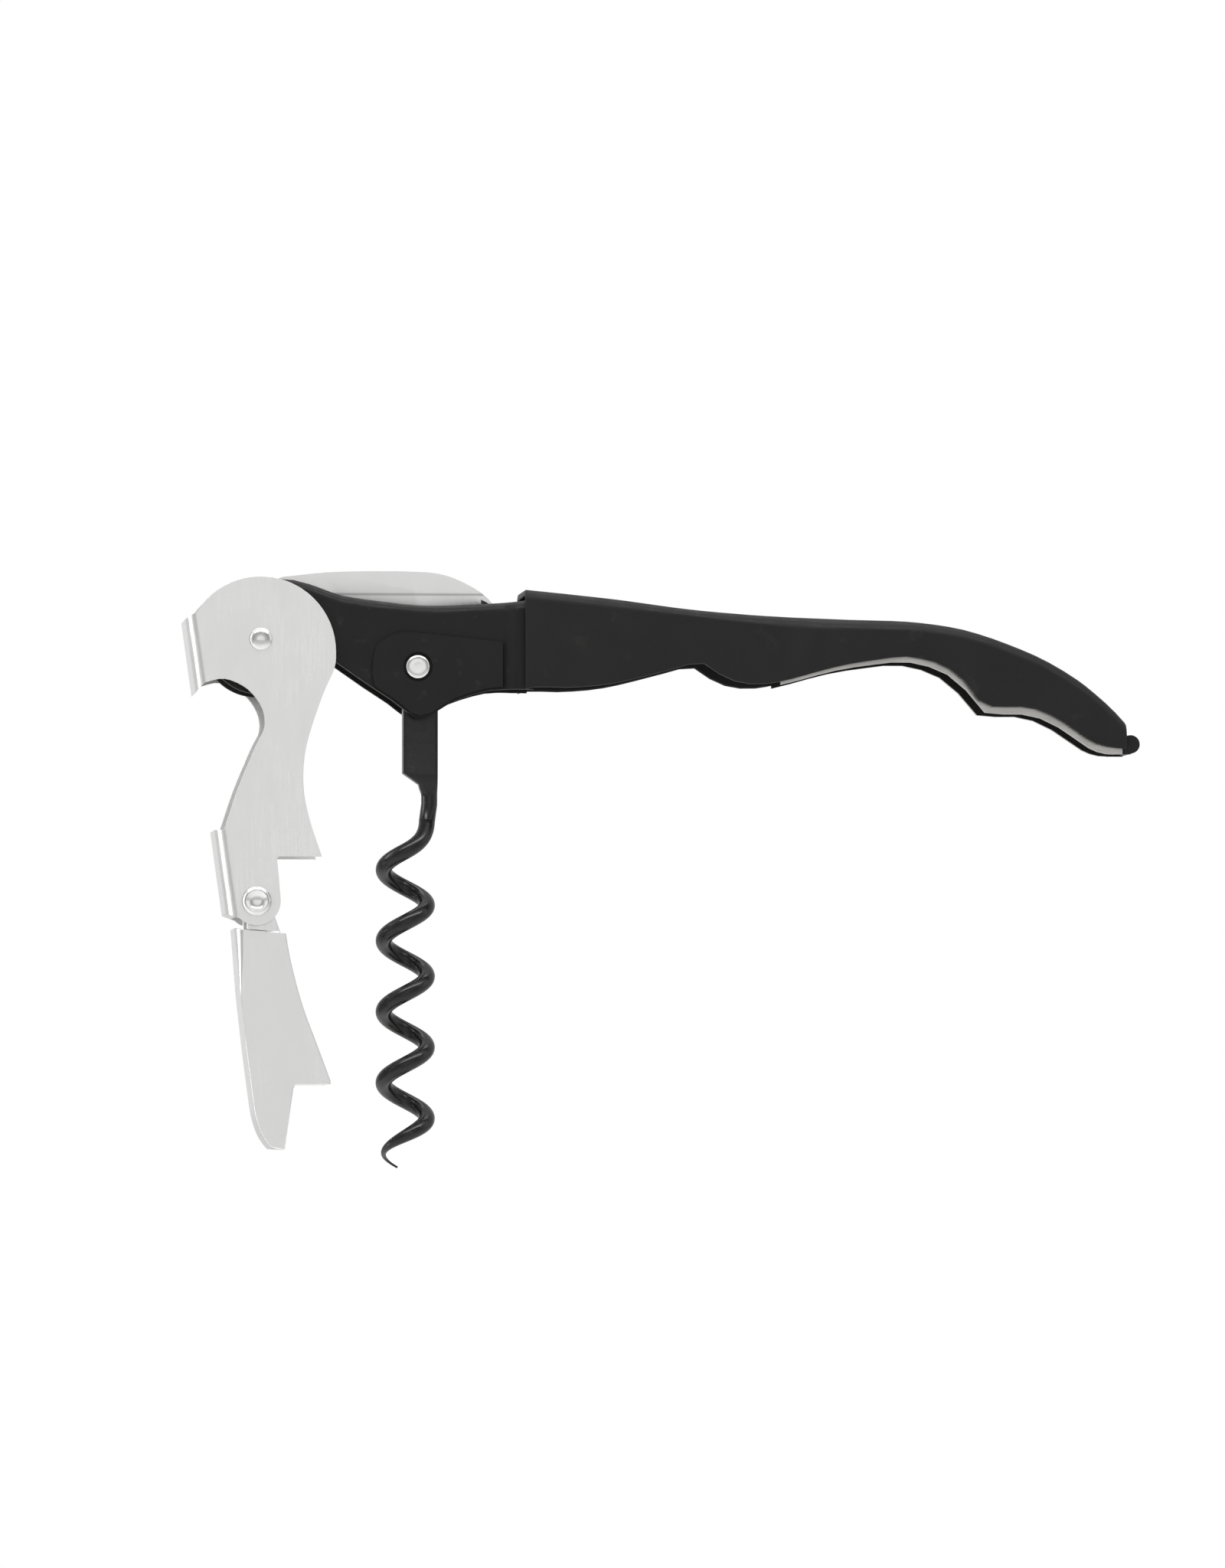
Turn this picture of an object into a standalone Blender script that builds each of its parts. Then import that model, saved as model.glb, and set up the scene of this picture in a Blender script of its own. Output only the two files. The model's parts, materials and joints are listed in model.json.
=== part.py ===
"""Waiters corkscrew with two hinged levers, a worm and a foil knife.

Lengths are in millimetres until a mesh is made, and a mesh is in metres.
X runs along the handle to its tip, Y across it and Z up.
The origin is on the worm pin's axis, midway between the walls of the body.
The worm hangs down and the levers stand beside it, as in use.
"""
import math

import bmesh
import bpy

MM = 0.001
GAP = 0.3                       # between pieces that touch on the real object
ROUND = 24                      # sides of a hole, a pin or a rivet

# Pivots, as (x, z). Every pivot's axis runs along Y.
WORM_PIVOT = (0.0, 0.0)
LEVER_PIVOT = (-20.4, 3.4)
HINGE_PIVOT = (-20.9, -30.4)
KNIFE_PIVOT = (-16.5, 8.9)

# Half widths across the object, from the inside out.
BLADE_HALF = 0.65
FRONT_HALF = 5.3                # outer face of the body between the levers
LEVER_HALF = 7.4                # outer face of the upper lever
GRIP_HALF = 7.5                 # outer face of the grip cover

SHEET = 1.0                     # the body's steel
COVER_SHEET = 0.8
LEVER_SHEET = 1.2
LOWER_SHEET = 1.1
LOWER_HALF = 6.3                # outer face of the lower lever
JOGGLE = 0.45                   # how far its hinge ears are set inwards
FIELD_RISE = 0.45               # raised field round the worm pin
BOSS_RISE = 0.6                 # raised boss under each cheek of the upper lever

NOSE_RADIUS = 7.0
FRONT_START = -17.6             # the body's upper edges start here, behind the nose
HEAD_RADIUS = 9.7
EAR_RADIUS = 1.85
BEND = 1.3                      # outer radius of a bend in the body's sheet
LEVER_BEND = 2.1                # and in the two levers' sheets
LOWER_BEND = 1.7

# Rivets and pins: shank radius, head radius, head height.
LEVER_RIVET = (0.95, 1.45, 0.6)
HINGE_RIVET = (0.9, 1.9, 0.6)
WORM_PIN = (1.1, 1.6, 0.35)
KNIFE_PIN_RADIUS = 0.9
SPRING_RIVET_RADIUS = 0.8

# Worm.
WIRE_RADIUS = 1.05
COIL_RADIUS = 2.8               # to the middle of the wire
COIL_AXIS_X = -1.25
COIL_TOP_Z = -21.4
PITCH = 9.2
TURNS = 4.7
SHANK = (-1.65, 2.9)            # left and right side
SHANK_HALF = 1.5
SHANK_END_Z = (-13.2, -14.5)    # at the left and the right side
EYE_RADIUS = 3.0

# Grip.
COVER_START = 13.8
COVER_END = 92.3
TIP_ROLL = (92.9, -9.7)         # the body's steel is rolled round at the very end
TIP_ROLL_RADIUS = 1.2
JOGGLE_START = 10.9
JOGGLE_END = 13.0
NEST_START = 15.0               # the folded lower lever lies between these
NEST_END = 46.6
NEST_TOP = 4.6


def remove_all():
    for item in list(bpy.data.objects):
        bpy.data.objects.remove(item, do_unlink=True)


def metal(name, colour, roughness, metallic):
    material = bpy.data.materials.new(name)
    material.use_nodes = True
    shader = material.node_tree.nodes["Principled BSDF"]
    shader.inputs["Base Color"].default_value = (*colour, 1.0)
    shader.inputs["Roughness"].default_value = roughness
    shader.inputs["Metallic"].default_value = metallic
    return material


def add_object(name, bm, pivot, material):
    """Turn a bmesh in millimetres into an object whose origin is on its pivot."""
    bmesh.ops.recalc_face_normals(bm, faces=bm.faces)
    if bm.calc_volume(signed=True) < 0:
        bmesh.ops.reverse_faces(bm, faces=bm.faces)
    for vertex in bm.verts:
        vertex.co.x -= pivot[0]
        vertex.co.z -= pivot[1]
        vertex.co *= MM
    mesh = bpy.data.meshes.new(name)
    bm.to_mesh(mesh)
    bm.free()
    if material:
        mesh.materials.append(material)
    item = bpy.data.objects.new(name, mesh)
    item.location = (pivot[0] * MM, 0.0, pivot[1] * MM)
    bpy.context.scene.collection.objects.link(item)
    return item


def as_tool(item):
    item.hide_render = True
    item.display_type = "WIRE"
    return item


def combine(target, tool, operation):
    as_tool(tool)
    step = target.modifiers.new(f"{operation.lower()} {tool.name}", "BOOLEAN")
    step.object = tool
    step.operation = operation
    step.solver = "EXACT"


def arc(centre, radius, start, end, steps):
    """Points on an arc, with its angles in degrees from +X towards +Z."""
    points = []
    for index in range(steps + 1):
        angle = math.radians(start + (end - start) * index / steps)
        points.append((centre[0] + radius * math.cos(angle), centre[1] + radius * math.sin(angle)))
    return points


def smooth(points, steps):
    """A curve through the points, with the given steps between two of them."""
    curve = []
    for index in range(len(points) - 1):
        before = points[max(index - 1, 0)]
        here = points[index]
        there = points[index + 1]
        after = points[min(index + 2, len(points) - 1)]
        for step in range(steps):
            t = step / steps
            curve.append(tuple(
                0.5 * (2 * h + (n - b) * t + (2 * b - 5 * h + 4 * n - a) * t ** 2
                       + (3 * h - 3 * n + a - b) * t ** 3)
                for b, h, n, a in zip(before, here, there, after)))
    curve.append(points[-1])
    return curve


def height_at(curve, x):
    """The height of a curve of (x, z) points, which run towards +X."""
    for (x0, z0), (x1, z1) in zip(curve, curve[1:]):
        if x <= x1:
            share = max(0.0, (x - x0) / (x1 - x0))
            return z0 + (z1 - z0) * share
    return curve[-1][1]


def ramp(x, low, high):
    """0 up to low and 1 from high on, with a smooth change between them."""
    share = min(1.0, max(0.0, (x - low) / (high - low)))
    return share * share * (3 - 2 * share)


def prism(outline, y_low, y_high):
    """A bmesh of an (x, z) outline that runs from y_low to y_high."""
    bm = bmesh.new()
    low = [bm.verts.new((x, y_low, z)) for x, z in outline]
    high = [bm.verts.new((x, y_high, z)) for x, z in outline]
    bm.faces.new(low)
    bm.faces.new(reversed(high))
    count = len(outline)
    for index in range(count):
        after = (index + 1) % count
        bm.faces.new((low[index], high[index], high[after], low[after]))
    return bm


def bend_edges(bm, radius, is_bent, segments=4):
    """Round the edges along the two side faces where is_bent(x, z) is true."""
    bent = []
    for edge in bm.edges:
        first, second = edge.verts
        along_side = abs(first.co.y - second.co.y) < 1e-6
        if along_side and is_bent(first.co.x, first.co.z) and is_bent(second.co.x, second.co.z):
            bent.append(edge)
    bmesh.ops.bevel(bm, geom=bent, offset=radius, offset_type="OFFSET", segments=segments,
                    profile=0.5, affect="EDGES", clamp_overlap=False)


def cylinder(pivot, radius, y_low, y_high, sides=ROUND):
    return prism(arc(pivot, radius, 0, 360 - 360 / sides, sides - 1), y_low, y_high)


def drill(target, pivot, radius, half_width):
    bore = cylinder(pivot, radius, -half_width, half_width)
    hole = add_object(f"{target.name}_hole_{radius}", bore, pivot, None)
    combine(target, hole, "DIFFERENCE")


def loft(sections):
    """Join rings of points, each with the same number of points, and close both ends."""
    bm = bmesh.new()
    rings = [[bm.verts.new(point) for point in section] for section in sections]
    for ring, following in zip(rings, rings[1:]):
        count = len(ring)
        for index in range(count):
            after = (index + 1) % count
            bm.faces.new((ring[index], ring[after], following[after], following[index]))
    bm.faces.new(reversed(rings[0]))
    bm.faces.new(rings[-1])
    return bm


def channel_section(x, half, top, bottom, sheet, bend, segments=3):
    """An upside-down U across the handle: down one side, back up inside it."""
    outer = [(half, bottom)]
    outer += [(half - bend + y, top - bend + z) for y, z in arc((0, 0), bend, 0, 90, segments)]
    inner_half = half - sheet
    inner_bend = max(bend - sheet, 0.2)
    inner = [(inner_half, bottom)]
    inner += [(inner_half - inner_bend + y, top - sheet - inner_bend + z)
              for y, z in arc((0, 0), inner_bend, 0, 90, segments)]
    outside = outer + [(-y, z) for y, z in reversed(outer)]
    inside = inner + [(-y, z) for y, z in reversed(inner)]
    return [(x, y, z) for y, z in outside + list(reversed(inside))]


# Heights of the body's and the grip's edges along the handle, as curves of (x, z).
FRONT_TOP = [(-17.6, 11.4), (-15.5, 11.2), (-12.5, 10.2), (-9.5, 9.2), (-4.5, 8.5), (0.5, 8.0),
             (6.0, 8.1), (11.5, 8.4), (14.0, 8.6)]
GRIP_TOP = [(13.8, 10.0), (25.5, 8.8), (35.5, 7.5), (45.5, 6.7), (55.5, 6.3), (63.5, 6.1),
            (69.5, 5.4), (73.5, 4.4), (77.5, 3.0), (81.5, 1.3), (85.5, -1.0), (88.5, -3.3),
            (91.0, -5.6), (93.4, -8.3)]
FRONT_BOTTOM = [(-17.6, 4.4), (-12.6, 1.9), (-6.6, -2.2), (-2.5, -4.9), (-1.2, -6.1), (0.5, -6.7),
                (2.2, -6.0), (4.5, -4.5), (8.5, -3.2), (11.0, -2.9), (15.0, -2.9)]
GRIP_BOTTOM = [(13.8, -3.0), (15.5, -2.6), (19.5, -2.7), (25.5, -2.1), (33.5, -0.1), (36.6, 0.6),
               (39.0, -0.9), (41.0, -1.8), (44.0, -2.2), (47.5, -1.7), (51.5, -0.6), (55.5, 0.4),
               (60.5, 1.2), (63.5, 1.5), (67.5, 0.7), (69.5, -0.4), (71.5, -2.1), (73.8, -4.8),
               (79.5, -5.0), (83.5, -6.6), (87.5, -9.3), (90.0, -10.1), (93.4, -10.4)]


def cover_half(x):
    return GRIP_HALF - 1.9 * ramp(x, 45, 93)


def frame_half(x):
    """The body is narrow between the levers and steps out to line the grip cover."""
    lining = cover_half(x) - COVER_SHEET - GAP
    return FRONT_HALF + (lining - FRONT_HALF) * ramp(x, JOGGLE_START, JOGGLE_END)


def frame_top(x):
    front = height_at(smooth(FRONT_TOP, 4), x)
    lining = height_at(smooth(GRIP_TOP, 4), x) - COVER_SHEET - GAP
    return front if x < 14.0 else lining


def frame_bottom(x):
    if x < NEST_START:
        return height_at(smooth(FRONT_BOTTOM, 4), x)
    if x <= NEST_END:
        return NEST_TOP - 1.6 * ramp(x, 36, NEST_END)
    shows = 0.4 + 0.5 * ramp(x, 50, 80)
    return max(height_at(smooth(GRIP_BOTTOM, 4), x) - shows, -11.0)


def evenly(start, end, step):
    count = max(1, round((end - start) / step))
    return [start + (end - start) * index / count for index in range(count + 1)]


def frame_stations():
    narrow = evenly(FRONT_START, JOGGLE_START, 1.6)
    step = evenly(JOGGLE_START, JOGGLE_END, 0.5)
    wide = evenly(JOGGLE_END + 0.6, NEST_START - 0.05, 0.7)
    nest = evenly(NEST_START, NEST_END, 5.0)
    rear = evenly(NEST_END + 0.4, 86.0, 2.5)
    tip = evenly(87.5, TIP_ROLL[0], 1.2)
    stations = sorted(set(round(x, 3) for x in narrow + step + wide + nest + rear + tip))
    return stations


def field_outline():
    """The raised field: a curved upper edge, and just inside the body's own edge below."""
    upper = smooth([(-5.9, -1.0), (-5.6, 2.0), (-4.5, 3.4), (-2.3, 4.4), (0.5, 4.3), (5.5, 3.8),
                    (11.0, 3.2)], 3)
    lower = [(x, height_at(smooth(FRONT_BOTTOM, 4), x) + 0.35) for x in evenly(-5.6, 11.0, 1.2)]
    return upper + list(reversed(lower))


def both_sides(name, outline, inner, outer, pivot, parent):
    """Join one plate to each outer face of the parent."""
    for side, y_low, y_high in (("near", -outer, -inner), ("far", inner, outer)):
        plate = add_object(f"{name}_{side}", prism(outline, y_low, y_high), pivot, None)
        combine(parent, plate, "UNION")


def build_frame(material):
    sections = [channel_section(x, frame_half(x), frame_top(x), min(frame_bottom(x), frame_top(x) - 0.5),
                                SHEET, BEND) for x in frame_stations()]
    frame = add_object("body_frame", loft(sections), WORM_PIVOT, material)
    inner = FRONT_HALF - 0.3
    both_sides("field", field_outline(), inner, FRONT_HALF + FIELD_RISE, WORM_PIVOT, frame)
    nose = arc(LEVER_PIVOT, NOSE_RADIUS, 0, 355, 71)
    both_sides("nose", nose, FRONT_HALF - SHEET + 0.02, FRONT_HALF - 0.02, WORM_PIVOT, frame)
    boss = arc(LEVER_PIVOT, 5.0, 0, 350, 35)
    both_sides("boss", boss, inner, FRONT_HALF + BOSS_RISE, WORM_PIVOT, frame)
    open_nose = [(-30, -8), (-14.2, -8), (-14.2, 14), (-30, 14)]
    inside = FRONT_HALF - SHEET
    cut = add_object("open_nose", prism(open_nose, -inside, inside), WORM_PIVOT, None)
    combine(frame, cut, "DIFFERENCE")
    slot = add_object("knife_slot", prism([(-16, 5.0), (10.9, 5.0), (10.9, 14), (-16, 14)], -1.25, 1.25),
                      WORM_PIVOT, None)
    combine(frame, slot, "DIFFERENCE")
    drill(frame, LEVER_PIVOT, LEVER_RIVET[0] + GAP, 8)
    drill(frame, WORM_PIVOT, WORM_PIN[0] + GAP, 8)
    drill(frame, KNIFE_PIVOT, KNIFE_PIN_RADIUS + GAP, 8)
    for side, y_low, y_high in (("near", -7, -FRONT_HALF), ("far", FRONT_HALF, 7)):
        recess = cylinder(WORM_PIVOT, WORM_PIN[1] + GAP, y_low, y_high)
        seat = add_object(f"pin_seat_{side}", recess, WORM_PIVOT, None)
        combine(frame, seat, "DIFFERENCE")
    roll_half = frame_half(TIP_ROLL[0])
    rolled = cylinder(TIP_ROLL, TIP_ROLL_RADIUS, -roll_half, roll_half)
    combine(frame, add_object("tip_roll", rolled, WORM_PIVOT, None), "UNION")
    return frame


def build_cover(material):
    stations = evenly(COVER_START, COVER_START + 1.2, 0.6)[:-1] + evenly(COVER_START + 1.2, 45.0, 2.0)
    stations += evenly(46.5, 86.0, 1.9) + evenly(87.0, COVER_END, 1.2)
    top = smooth(GRIP_TOP, 4)
    bottom = smooth(GRIP_BOTTOM, 4)
    sections = [channel_section(x, cover_half(x), height_at(top, x),
                                min(height_at(bottom, x), height_at(top, x) - 1.2), COVER_SHEET, 1.5)
                for x in stations]
    return add_object("grip_cover", loft(sections), WORM_PIVOT, material)


def build_upper_lever(material):
    head = (LEVER_PIVOT[0], 1.8)
    web_top = (-30.1, 6.0)
    web_end = (-24.8, -32.0)
    web_inside = LEVER_SHEET + 0.02
    hinge_arc = arc(HINGE_PIVOT, 3.1, -135, 0, 10)
    right_side = smooth([(-17.8, -30.4), (-18.1, -26.8), (-18.3, -24.9)], 2)
    step_edge = [(-18.0, -24.6), (-12.5, -24.6)]
    inside = smooth([(-12.5, -24.6), (-14.1, -19.8), (-14.9, -15.3), (-14.5, -10.3), (-12.5, -4.0),
                     (-10.9, -0.3), (-10.7, 1.8)], 4)[1:]
    crown = arc(head, HEAD_RADIUS, 0, 148, 26)[1:]
    block = hinge_arc + right_side[1:] + step_edge + inside + crown + [web_top, web_end]

    def is_web(x, z):
        on_line = web_top[0] + (web_end[0] - web_top[0]) * (web_top[1] - z) / (web_top[1] - web_end[1])
        return abs(x - on_line) < 0.02 and web_end[1] - 0.01 <= z <= web_top[1] + 0.01

    bm = prism(block, -LEVER_HALF, LEVER_HALF)
    bend_edges(bm, LEVER_BEND, is_web)
    lever = add_object("upper_lever", bm, LEVER_PIVOT, material)
    room_left = [(web_top[0] + web_inside, 16.0), (web_top[0] + web_inside, web_top[1]),
                 (web_end[0] + web_inside, web_end[1]), (web_end[0] + web_inside, -38.0)]
    room = room_left + [(-5.0, -38.0), (-5.0, 16.0)]
    cavity = add_object("upper_lever_room", prism(room, LEVER_SHEET - LEVER_HALF, LEVER_HALF - LEVER_SHEET),
                        LEVER_PIVOT, None)
    combine(lever, cavity, "DIFFERENCE")
    notch = smooth([(-27.6, -2.2), (-25.0, -1.7), (-22.0, -3.1), (-20.2, -5.5), (-19.9, -8.0),
                    (-21.0, -10.3), (-23.3, -15.8), (-24.9, -20.6)], 4)
    lip = [(-34.0, -3.9), (-29.0, -3.9), (-28.4, -3.0)]
    notch = lip + notch + [(-25.1, -21.2), (-34.0, -21.2)]
    hook = add_object("cap_notch", prism(notch, -9, 9), LEVER_PIVOT, None)
    combine(lever, hook, "DIFFERENCE")
    above_web = [(-34.0, 6.0), (-29.0, 6.0), (-28.0, 7.2), (-28.0, 14.0), (-34.0, 14.0)]
    trim = add_object("web_top_trim", prism(above_web, -5.6, 5.6), LEVER_PIVOT, None)
    combine(lever, trim, "DIFFERENCE")
    drill(lever, LEVER_PIVOT, LEVER_RIVET[0] + GAP, 9)
    drill(lever, HINGE_PIVOT, HINGE_RIVET[0] + GAP, 9)
    return lever


def build_lower_lever(material):
    web = [(-23.7, -33.8), (-22.9, -42.8), (-22.1, -49.8), (-21.3, -55.8)]
    foot = smooth([(-21.3, -55.8), (-20.9, -58.2), (-20.1, -60.5), (-18.9, -62.3)], 4)[1:]
    right_side = smooth([(-17.1, -34.4), (-16.5, -37.8), (-15.5, -41.8), (-14.5, -45.0), (-12.9, -49.2),
                         (-11.3, -53.5)], 3)
    below_step = [(-11.3, -54.0), (-15.8, -54.0), (-16.1, -54.5), (-16.7, -58.8), (-17.2, -62.4)]
    block = web + foot + list(reversed(below_step)) + list(reversed(right_side)) + [(-22.4, -34.0)]

    def is_web(x, z):
        return any(abs(x - a) < 0.01 and abs(z - b) < 0.01 for a, b in web + foot)

    bm = prism(block, -LOWER_HALF, LOWER_HALF)
    bend_edges(bm, LOWER_BEND, is_web)
    lever = add_object("lower_lever", bm, HINGE_PIVOT, material)
    inner_web = [(x + LOWER_SHEET, z) for x, z in web + foot[:-2]]
    room = [(web[0][0] + LOWER_SHEET, -26.0)] + inner_web + [(-17.3, -60.4), (-8.0, -60.4), (-8.0, -26.0)]
    cavity = add_object("lower_lever_room", prism(room, LOWER_SHEET - LOWER_HALF, LOWER_HALF - LOWER_SHEET),
                        HINGE_PIVOT, None)
    combine(lever, cavity, "DIFFERENCE")
    ear = arc(HINGE_PIVOT, EAR_RADIUS, 218, -10, 16)
    ear += [(-17.9, -34.0), (-17.4, -36.0), (-22.4, -36.0), (-22.1, -34.2), (-22.0, -32.6)]
    both_sides("ear", ear, LOWER_HALF - JOGGLE - LOWER_SHEET, LOWER_HALF - JOGGLE, HINGE_PIVOT, lever)
    drill(lever, HINGE_PIVOT, HINGE_RIVET[0] + 0.2, 9)
    return lever


def wire_path():
    """The worm's wire: straight down from the shank, then round and round to the tip."""
    neck_x = SHANK[1] - WIRE_RADIUS
    path = [(neck_x, 0.0, z) for z in (-12.0, -14.0, -16.0, -17.6)]
    lead_in = 2.1
    lead_angle = math.radians(110)
    steps = int(TURNS * 20)
    for index in range(1, steps + 1):
        turned = 2 * math.pi * TURNS * index / steps
        lead = lead_in * max(0.0, 1 - turned / lead_angle) ** 3
        path.append((COIL_AXIS_X + COIL_RADIUS * math.cos(turned), -COIL_RADIUS * math.sin(turned),
                     COIL_TOP_Z + lead - PITCH * turned / (2 * math.pi)))
    return path


def wire_radius(share):
    """Full thickness for most of the way, then a taper to the point."""
    return WIRE_RADIUS * (1.0 - 0.86 * ramp(share, 0.86, 1.0))


def tube(path, radius_at, sides):
    """A round wire along a path, turning as little as it can about itself."""
    def minus(a, b):
        return [p - q for p, q in zip(a, b)]

    def unit(a):
        size = math.sqrt(sum(p * p for p in a))
        return [p / size for p in a]

    def cross(a, b):
        return [a[1] * b[2] - a[2] * b[1], a[2] * b[0] - a[0] * b[2], a[0] * b[1] - a[1] * b[0]]

    sections = []
    side = [1.0, 0.0, 0.0]
    for index, point in enumerate(path):
        ahead = path[min(index + 1, len(path) - 1)]
        behind = path[max(index - 1, 0)]
        along = unit(minus(ahead, behind))
        lean = sum(p * q for p, q in zip(side, along))
        side = unit([p - lean * q for p, q in zip(side, along)])
        other = cross(along, side)
        radius = radius_at(index / (len(path) - 1))
        ring = []
        for step in range(sides):
            angle = 2 * math.pi * step / sides
            ring.append(tuple(c + radius * (math.cos(angle) * u + math.sin(angle) * v)
                              for c, u, v in zip(point, side, other)))
        sections.append(ring)
    return loft(sections)


def build_worm(material):
    left, right = SHANK
    eye = arc(WORM_PIVOT, EYE_RADIUS, 26, 180, 14)
    low_left, low_right = SHANK_END_Z
    shank = eye + [(-2.6, -2.6), (left, -4.6), (left, low_left), (left + 1.9, low_right - 0.2),
                   (right, low_right - 0.2), (right, 1.0)]
    worm = add_object("worm", prism(shank, -SHANK_HALF, SHANK_HALF), WORM_PIVOT, material)
    wire = add_object("worm_wire", tube(wire_path(), wire_radius, 10), WORM_PIVOT, None)
    combine(worm, wire, "UNION")
    drill(worm, WORM_PIVOT, WORM_PIN[0] + GAP, 4)
    return worm


BLADE_SPINE = [(-16.5, 11.9), (-13.0, 12.35), (-5.8, 12.6), (1.2, 12.5), (4.2, 12.0), (7.0, 10.8),
               (9.0, 9.5), (10.3, 8.1)]
BLADE_EDGE = [(-16.5, 6.0), (-13.0, 5.9), (-5.8, 5.4), (0.0, 5.6), (4.2, 6.5), (7.4, 7.2), (10.3, 7.5)]
GRIND_TOP = 10.1


def build_knife(material):
    """Flat along its spine, and ground thinner from there down to the edge."""
    spine = smooth(BLADE_SPINE, 5)
    edge = smooth(BLADE_EDGE, 5)
    sections = []
    for x in evenly(-12.0, 10.3, 0.9):
        top = height_at(spine, x)
        low = height_at(edge, x)
        grind = min(GRIND_TOP, top - 0.35 * (top - low))
        thin = BLADE_HALF + (0.12 - BLADE_HALF) * ramp(x, -12.0, -9.0)
        near_side = [(x, -BLADE_HALF, top), (x, -BLADE_HALF, grind), (x, -thin, low)]
        sections.append(near_side + [(x, -y, z) for x, y, z in reversed(near_side)])
    knife = add_object("knife_blade", loft(sections), KNIFE_PIVOT, material)
    tang = arc(KNIFE_PIVOT, 3.0, 90, 270, 16) + [(-13.0, 5.9), (-11.2, 5.75), (-11.2, 12.4), (-13.0, 12.3)]
    root = add_object("knife_tang", prism(tang, -BLADE_HALF + 0.01, BLADE_HALF - 0.01), KNIFE_PIVOT, None)
    combine(knife, root, "UNION")
    drill(knife, KNIFE_PIVOT, KNIFE_PIN_RADIUS + GAP, 3)
    return knife


def turned(name, pivot, profile, material, hollow=False):
    """A piece turned about its pivot's axis, from (y, radius) points along Y."""
    rings = []
    for y, radius in profile:
        ring = []
        for step in range(ROUND):
            angle = 2 * math.pi * step / ROUND
            ring.append((pivot[0] + radius * math.cos(angle), y, pivot[1] + radius * math.sin(angle)))
        rings.append(ring)
    if not hollow:
        return add_object(name, loft(rings), pivot, material)
    bm = bmesh.new()
    rings = [[bm.verts.new(point) for point in ring] for ring in rings]
    for index, ring in enumerate(rings):
        following = rings[(index + 1) % len(rings)]
        for step in range(ROUND):
            after = (step + 1) % ROUND
            bm.faces.new((ring[step], ring[after], following[after], following[step]))
    return add_object(name, bm, pivot, material)


def mirrored(half):
    """A profile from tip to tip, from the points of its +Y half, outermost first."""
    return half + [(-y, radius) for y, radius in reversed(half)]


def build_rivets(material):
    shank, head, height = LEVER_RIVET
    seat = LEVER_HALF + 0.2
    dome = [(seat + height * math.sin(math.radians(a)), head * math.cos(math.radians(a)))
            for a in (78, 55, 30, 0)]
    turned("lever_rivet", LEVER_PIVOT, mirrored(dome + [(seat, shank)]), material)
    shank, head, height = HINGE_RIVET
    dimpled = [(seat + 0.1, 0.5), (seat + 0.15, 0.9), (seat + height, 1.25), (seat + height - 0.05, 1.6),
               (seat + 0.2, head), (seat, head), (seat, shank)]
    turned("hinge_rivet", HINGE_PIVOT, mirrored(dimpled), material)
    shank, head, height = WORM_PIN
    seat = FRONT_HALF + 0.25
    low_head = [(seat + height, head - 0.35), (seat + height - 0.15, head), (seat, head), (seat, shank)]
    turned("worm_pin", WORM_PIVOT, mirrored(low_head), material)
    turned("knife_pin", KNIFE_PIVOT, mirrored([(FRONT_HALF - 0.02, KNIFE_PIN_RADIUS)]), material)


def build_bushes(material):
    """Plain bushes that keep the worm and the knife midway between the walls."""
    wall = FRONT_HALF - SHEET - GAP
    bushes = (("worm_bush", WORM_PIVOT, WORM_PIN[0] + GAP, 2.3, SHANK_HALF + GAP),
              ("knife_bush", KNIFE_PIVOT, KNIFE_PIN_RADIUS + GAP, 1.9, BLADE_HALF + GAP))
    for name, pivot, bore, outside, inner in bushes:
        for side, sign in (("near", -1), ("far", 1)):
            profile = [(sign * inner, bore), (sign * inner, outside), (sign * wall, outside),
                       (sign * wall, bore)]
            turned(f"{name}_{side}", pivot, profile, material, hollow=True)


def build_spring(steel, nickel):
    """A leaf under the body's top that bears on the worm's eye, and the rivet that holds it."""
    middle = [(21.0, 6.75), (16.0, 6.8), (14.2, 6.6), (9.5, 5.1), (4.0, 3.95), (0.5, 3.65), (-2.0, 3.9)]
    thick = 0.25
    upper = [(x, z + thick) for x, z in smooth(middle, 4)]
    lower = [(x, z - thick) for x, z in smooth(middle, 4)]
    spring = add_object("worm_spring", prism(upper + list(reversed(lower)), -2.6, 2.6), WORM_PIVOT, steel)
    centre_x = 18.5
    bore = vertical_cylinder(centre_x, SPRING_RIVET_RADIUS + GAP, 3, 9.5)
    hole = add_object("spring_hole", bore, WORM_PIVOT, None)
    combine(spring, hole, "DIFFERENCE")
    frame = bpy.data.objects["body_frame"]
    combine(frame, hole, "DIFFERENCE")
    head = [(0.9, 5.6), (1.5, 5.85), (1.5, 6.2)]
    shank = [(SPRING_RIVET_RADIUS, 6.2), (SPRING_RIVET_RADIUS, 8.25)]
    rivet = loft([ring_about_z(centre_x, radius, z) for radius, z in head + shank])
    add_object("spring_rivet", rivet, WORM_PIVOT, nickel)


def ring_about_z(x, radius, z, sides=20):
    return [(x + radius * math.cos(2 * math.pi * i / sides), radius * math.sin(2 * math.pi * i / sides), z)
            for i in range(sides)]


def vertical_cylinder(x, radius, low, high):
    return loft([ring_about_z(x, radius, low), ring_about_z(x, radius, high)])


def main():
    remove_all()
    black = metal("black coat", (0.02, 0.02, 0.02), 0.45, 0.0)
    nickel = metal("nickel", (0.72, 0.72, 0.71), 0.25, 1.0)
    steel = metal("blade steel", (0.62, 0.62, 0.62), 0.3, 1.0)
    brass = metal("bush brass", (0.75, 0.6, 0.3), 0.4, 1.0)
    build_frame(black)
    build_cover(black)
    build_upper_lever(nickel)
    build_lower_lever(nickel)
    build_worm(black)
    build_knife(steel)
    build_rivets(nickel)
    build_bushes(brass)
    build_spring(steel, nickel)


main()
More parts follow.
